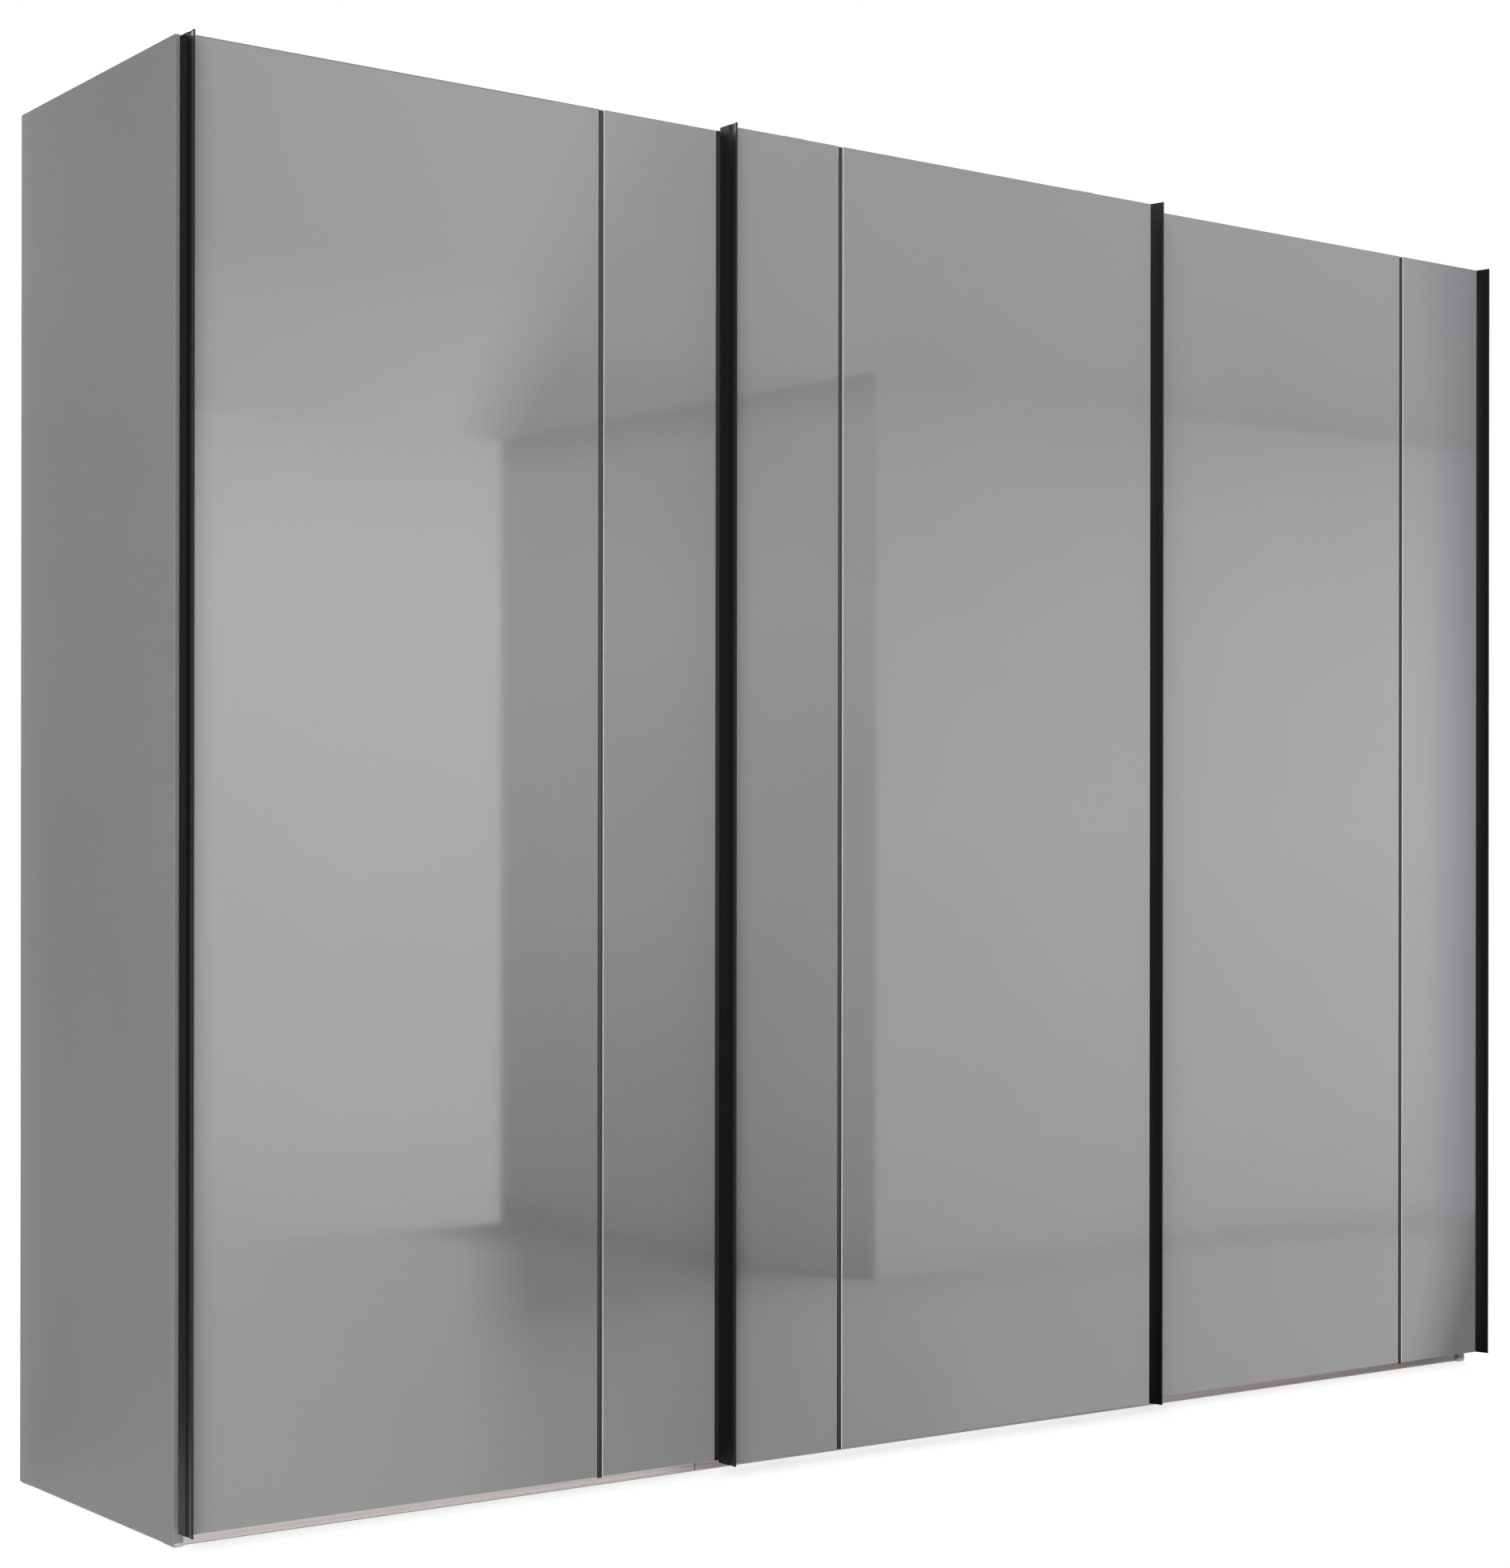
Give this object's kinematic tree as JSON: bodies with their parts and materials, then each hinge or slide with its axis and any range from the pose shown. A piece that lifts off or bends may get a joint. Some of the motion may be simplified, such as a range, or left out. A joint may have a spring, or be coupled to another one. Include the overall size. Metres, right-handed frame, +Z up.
{
  "type": "sliding door wardrobe",
  "caption": "Wide wardrobe with floating sliding doors faced in grey back-painted glass, black grip profiles, and compartments with hat shelf and clothes rail.",
  "frame": {"origin": "on the floor, under the middle of the wardrobe's outer box", "axes": "+X to the right along the front, +Y from the doors to the back, +Z up"},
  "size_m": [2.78, 0.663, 2.17],
  "materials": {
    "carcass_board": "matt grey melamine",
    "interior_board": "light grey melamine",
    "back_sheet": "printed hardboard",
    "door_core": "dark grey board",
    "pane_glass": "back-painted, glossy",
    "black_profile": "black anodised",
    "divider_strip": "dark anodised",
    "guide_rail": "brushed, warm grey anodised",
    "track_aluminium": "natural anodised",
    "bracket_steel": "zinc plated",
    "rail_chrome": "polished",
    "bracket_plastic": "moulded",
    "guide_plastic": "moulded",
    "wheel_plastic": "moulded",
    "foot_plastic": "moulded",
    "stop_rubber": "moulded"
  },
  "bodies": {
    "carcass": {"back_panel_left": "back_sheet", "back_panel_middle": "back_sheet", "back_panel_right": "back_sheet", "bottom_panel_left": "interior_board", "bottom_panel_middle": "interior_board", "bottom_panel_right": "interior_board", "clothes_rail_brackets": "bracket_plastic", "clothes_rails": "rail_chrome", "hat_shelf_left": "interior_board", "hat_shelf_middle": "interior_board", "hat_shelf_right": "interior_board", "lower_guide_rail_left": "guide_rail", "lower_guide_rail_right": "guide_rail", "partition_glides": "foot_plastic", "partition_left": "interior_board", "partition_right": "interior_board", "plinth": "interior_board", "shelf_pins": "bracket_steel", "side_panel_left": "carcass_board", "side_panel_right": "carcass_board", "top_panel_left": "interior_board", "top_panel_middle": "interior_board", "top_panel_right": "interior_board", "track_end_stops": "stop_rubber", "upper_track": "track_aluminium"},
    "left_door": {"left_door_core": "door_core", "left_door_divider": "divider_strip", "left_door_edge_profile": "black_profile", "left_door_handle": "black_profile", "left_door_lower_guides": "guide_plastic", "left_door_narrow_glass": "pane_glass", "left_door_trolleys": "bracket_steel", "left_door_wide_glass": "pane_glass"},
    "left_door_left_wheel": {"left_door_left_wheel": "wheel_plastic"},
    "left_door_right_wheel": {"left_door_right_wheel": "wheel_plastic"},
    "middle_door": {"middle_door_core": "door_core", "middle_door_divider": "divider_strip", "middle_door_left_handle": "black_profile", "middle_door_lower_guides": "guide_plastic", "middle_door_narrow_glass": "pane_glass", "middle_door_right_handle": "black_profile", "middle_door_trolleys": "bracket_steel", "middle_door_wide_glass": "pane_glass"},
    "middle_door_left_wheel": {"middle_door_left_wheel": "wheel_plastic"},
    "middle_door_right_wheel": {"middle_door_right_wheel": "wheel_plastic"},
    "right_door": {"right_door_core": "door_core", "right_door_divider": "divider_strip", "right_door_edge_profile": "black_profile", "right_door_handle": "black_profile", "right_door_lower_guides": "guide_plastic", "right_door_narrow_glass": "pane_glass", "right_door_trolleys": "bracket_steel", "right_door_wide_glass": "pane_glass"},
    "right_door_left_wheel": {"right_door_left_wheel": "wheel_plastic"},
    "right_door_right_wheel": {"right_door_right_wheel": "wheel_plastic"},
    "foot_left_front": {"foot_left_front": "foot_plastic"},
    "foot_left_back": {"foot_left_back": "foot_plastic"},
    "foot_right_front": {"foot_right_front": "foot_plastic"},
    "foot_right_back": {"foot_right_back": "foot_plastic"}
  },
  "joints": [
    {"name": "left_door_slide", "type": "slide", "parent": "carcass", "child": "left_door", "axis": [1, 0, 0], "range_m": [0, 0.89]},
    {"name": "left_door_left_wheel_spin", "type": "hinge", "parent": "left_door", "child": "left_door_left_wheel", "pos_m": [-1.24, -0.2175, 2.1403], "axis": [0, 1, 0], "range_deg": [0, 4250]},
    {"name": "left_door_right_wheel_spin", "type": "hinge", "parent": "left_door", "child": "left_door_right_wheel", "pos_m": [-0.602, -0.2175, 2.1403], "axis": [0, 1, 0], "range_deg": [0, 4250]},
    {"name": "middle_door_slide", "type": "slide", "parent": "carcass", "child": "middle_door", "axis": [1, 0, 0], "range_m": [-0.89, 0.89]},
    {"name": "middle_door_left_wheel_spin", "type": "hinge", "parent": "middle_door", "child": "middle_door_left_wheel", "pos_m": [-0.319, -0.1875, 2.1403], "axis": [0, 1, 0], "range_deg": [-4250, 4250]},
    {"name": "middle_door_right_wheel_spin", "type": "hinge", "parent": "middle_door", "child": "middle_door_right_wheel", "pos_m": [0.319, -0.1875, 2.1403], "axis": [0, 1, 0], "range_deg": [-4250, 4250]},
    {"name": "right_door_slide", "type": "slide", "parent": "carcass", "child": "right_door", "axis": [1, 0, 0], "range_m": [-0.89, 0]},
    {"name": "right_door_left_wheel_spin", "type": "hinge", "parent": "right_door", "child": "right_door_left_wheel", "pos_m": [0.602, -0.2175, 2.1403], "axis": [0, 1, 0], "range_deg": [-4250, 0]},
    {"name": "right_door_right_wheel_spin", "type": "hinge", "parent": "right_door", "child": "right_door_right_wheel", "pos_m": [1.24, -0.2175, 2.1403], "axis": [0, 1, 0], "range_deg": [-4250, 0]},
    {"name": "foot_left_front_adjust", "type": "slide", "parent": "carcass", "child": "foot_left_front", "axis": [0, 0, -1], "range_m": [0, 0.012]},
    {"name": "foot_left_back_adjust", "type": "slide", "parent": "carcass", "child": "foot_left_back", "axis": [0, 0, -1], "range_m": [0, 0.012]},
    {"name": "foot_right_front_adjust", "type": "slide", "parent": "carcass", "child": "foot_right_front", "axis": [0, 0, -1], "range_m": [0, 0.012]},
    {"name": "foot_right_back_adjust", "type": "slide", "parent": "carcass", "child": "foot_right_back", "axis": [0, 0, -1], "range_m": [0, 0.012]}
  ],
  "couplings": [
    {"joint": "left_door_left_wheel_spin", "follows": "left_door_slide", "rad_per_m": 83.333},
    {"joint": "left_door_right_wheel_spin", "follows": "left_door_slide", "rad_per_m": 83.333},
    {"joint": "middle_door_left_wheel_spin", "follows": "middle_door_slide", "rad_per_m": 83.333},
    {"joint": "middle_door_right_wheel_spin", "follows": "middle_door_slide", "rad_per_m": 83.333},
    {"joint": "right_door_left_wheel_spin", "follows": "right_door_slide", "rad_per_m": 83.333},
    {"joint": "right_door_right_wheel_spin", "follows": "right_door_slide", "rad_per_m": 83.333}
  ]
}
